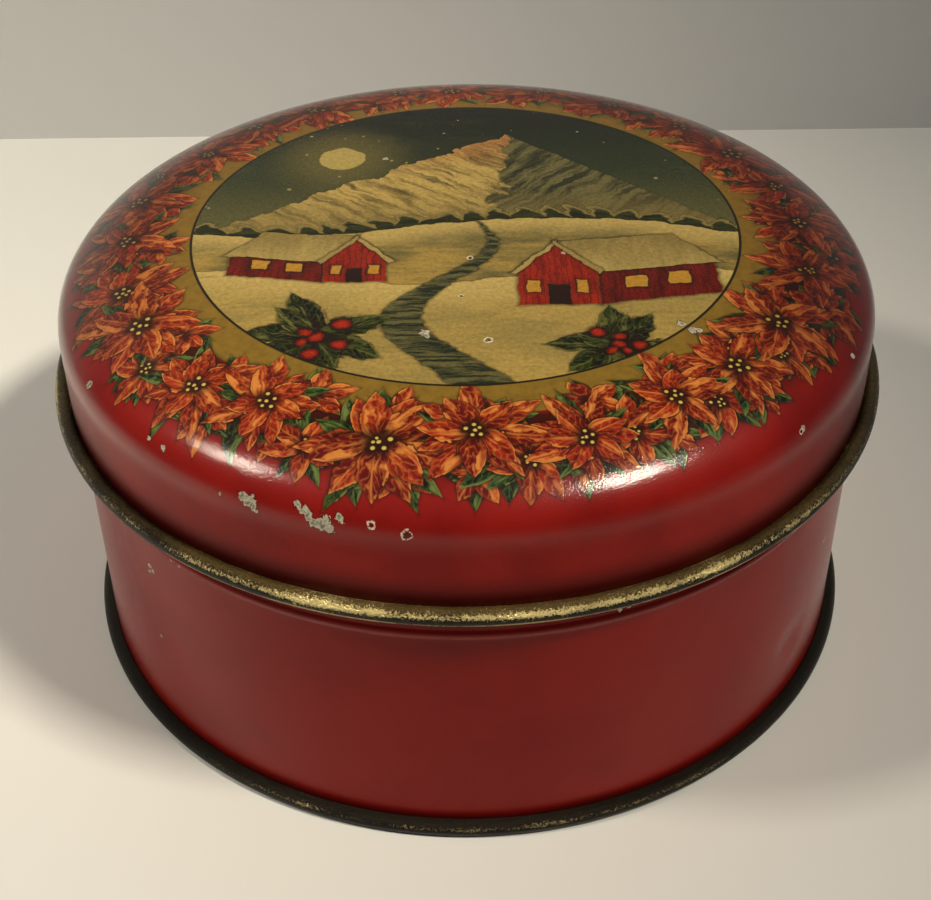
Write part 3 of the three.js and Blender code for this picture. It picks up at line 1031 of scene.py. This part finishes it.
def make_stage():
    """Pale floor, and a grey wall behind it as in the photograph."""
    far = STAGE_REACH
    back = WALL_BEHIND
    top = WALL_HEIGHT
    floor = [(-far, -far, 0), (far, -far, 0), (far, back, 0), (-far, back, 0)]
    wall = [(-far, back, 0), (far, back, 0), (far, back, top), (-far, back, top)]
    for name, corners, finish in (
        ("floor", floor, one_sided("floor", FLOOR_COLOUR, 0.5)),
        ("backdrop", wall, one_sided("backdrop", WALL_COLOUR, 0.9)),
    ):
        mesh = bpy.data.meshes.new(name)
        mesh.from_pydata(corners, [], [(0, 1, 2, 3)])
        mesh.materials.append(finish)
        plane = bpy.data.objects.new(name, mesh)
        bpy.context.scene.collection.objects.link(plane)


WARM_LIGHT = (1.0, 0.92, 0.74)
COOL_LIGHT = (0.82, 0.93, 1.1, 1.0)
LAMP_DISTANCE = 1.2
LAMP_CENTRE = Vector((0, 0, 0.06))


def make_lamp(name, azimuth, elevation, aim, spread, size, power):
    """Area lamp with a beam towards a point on the floor.

    Azimuth 0 is in front of the tin, and a positive one is on the right.
    """
    a = math.radians(azimuth)
    e = math.radians(elevation)
    towards = Vector((math.sin(a) * math.cos(e), -math.cos(a) * math.cos(e), math.sin(e)))
    lamp = bpy.data.lights.new(name, "AREA")
    lamp.shape = "RECTANGLE"
    lamp.size, lamp.size_y = size
    lamp.energy = power
    lamp.spread = math.radians(spread)
    lamp.color = WARM_LIGHT
    made = bpy.data.objects.new(name, lamp)
    bpy.context.scene.collection.objects.link(made)
    made.location = LAMP_CENTRE + towards * LAMP_DISTANCE
    made.rotation_euler = (made.location - Vector(aim)).to_track_quat("Z", "Y").to_euler()


def make_world(low, high):
    """Soft light from above that dims towards the horizon."""
    world = bpy.data.worlds.new("soft_light")
    bpy.context.scene.world = world
    world.use_nodes = True
    nodes = Nodes(world.node_tree)
    up = nodes.split(nodes.node("ShaderNodeTexCoord").outputs["Generated"])[2]
    background = world.node_tree.nodes["Background"]
    background.inputs["Color"].default_value = COOL_LIGHT
    nodes.feed(background.inputs["Strength"], nodes.blend(up.smooth(0.1, 0.8), low, high))


# Camera fitted to the tin's outlines, in pixels, millimetres and degrees
PHOTO_WIDTH = 931
SENSOR = 36.0
FOCAL_PIXELS = 1571.4
AIM = Vector((0, 0, 35.0))
DISTANCE = 314.33
ELEVATION = 36.591
PAN = -0.086
TILT = -1.178
ROLL = -0.751


def make_camera():
    """Camera at the photograph's place, with the small turns that frame the tin as it does."""
    elevation, pan, tilt, roll = (math.radians(d) for d in (ELEVATION, PAN, TILT, ROLL))
    back = Vector((0, -math.cos(elevation), math.sin(elevation)))
    right = Vector((1, 0, 0))
    forward = -back
    up = right.cross(forward)
    sideways = forward * math.cos(pan) + right * math.sin(pan)
    forward = sideways * math.cos(tilt) + up * math.sin(tilt)
    level = forward.cross(Vector((0, 0, 1))).normalized()
    high = level.cross(forward)
    right = level * math.cos(roll) + high * math.sin(roll)
    up = high * math.cos(roll) - level * math.sin(roll)
    camera = bpy.data.cameras.new("camera")
    camera.sensor_width = SENSOR
    camera.lens = FOCAL_PIXELS * SENSOR / PHOTO_WIDTH
    camera.clip_start = 0.01
    made = bpy.data.objects.new("camera", camera)
    bpy.context.scene.collection.objects.link(made)
    turn = Matrix((right, up, -forward)).transposed()
    made.matrix_world = Matrix.Translation((AIM + back * DISTANCE) * MM) @ turn.to_4x4()
    bpy.context.scene.camera = made


bpy.context.scene.view_settings.view_transform = "Standard"
make_camera()
make_stage()
make_world(0.04, 0.1)
make_lamp("left_lamp", -76, 46, aim=(-0.02, -0.06, 0), spread=60, size=(0.18, 0.08), power=0.5)
make_lamp("right_lamp", 57, 55, aim=(-0.21, 0.03, 0), spread=34, size=(0.23, 0.11), power=0.53)

inside_gold = gold_finish("inside_gold", srgb(190, 154, 78), srgb(132, 100, 48), tarnish=0.72, gloss=0.3)
bottom_gold = gold_finish("bottom_gold", srgb(164, 134, 70), srgb(92, 72, 38), tarnish=0.66, gloss=0.35)
# Bead colours: worn metal that is partly a painted highlight, the lighter upper half, and painted shade
# below
rim_tones = (srgb(250, 228, 158), srgb(92, 74, 38), srgb(27, 21, 12))
rim_gold = bead_finish("rim_gold", RIM_HEIGHT, RIM_ROLL, *rim_tones, wear_and_glint=0.28)
foot_tones = (srgb(170, 150, 104), srgb(30, 23, 12), srgb(12, 9, 5))
foot_gold = bead_finish("foot_gold", FOOT_ROLL, FOOT_ROLL, *foot_tones, wear_and_glint=0.06)
red = red_finish()

lid = make_lid(print_finish(), picture_finish(), inside_gold)
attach(lid, "lid")
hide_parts("lid_shell")

rim = make_rim(rim_gold)
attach(rim, "lid")

body = make_body(red, inside_gold)
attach(body, "tin")
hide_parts("body_wall")

bottom = make_bottom(bottom_gold, foot_gold)
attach(bottom, "tin")
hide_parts("bottom_plate")

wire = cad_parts["lid_rim_wire"]
wire.data.materials.clear()
wire.data.materials.append(steel_finish())
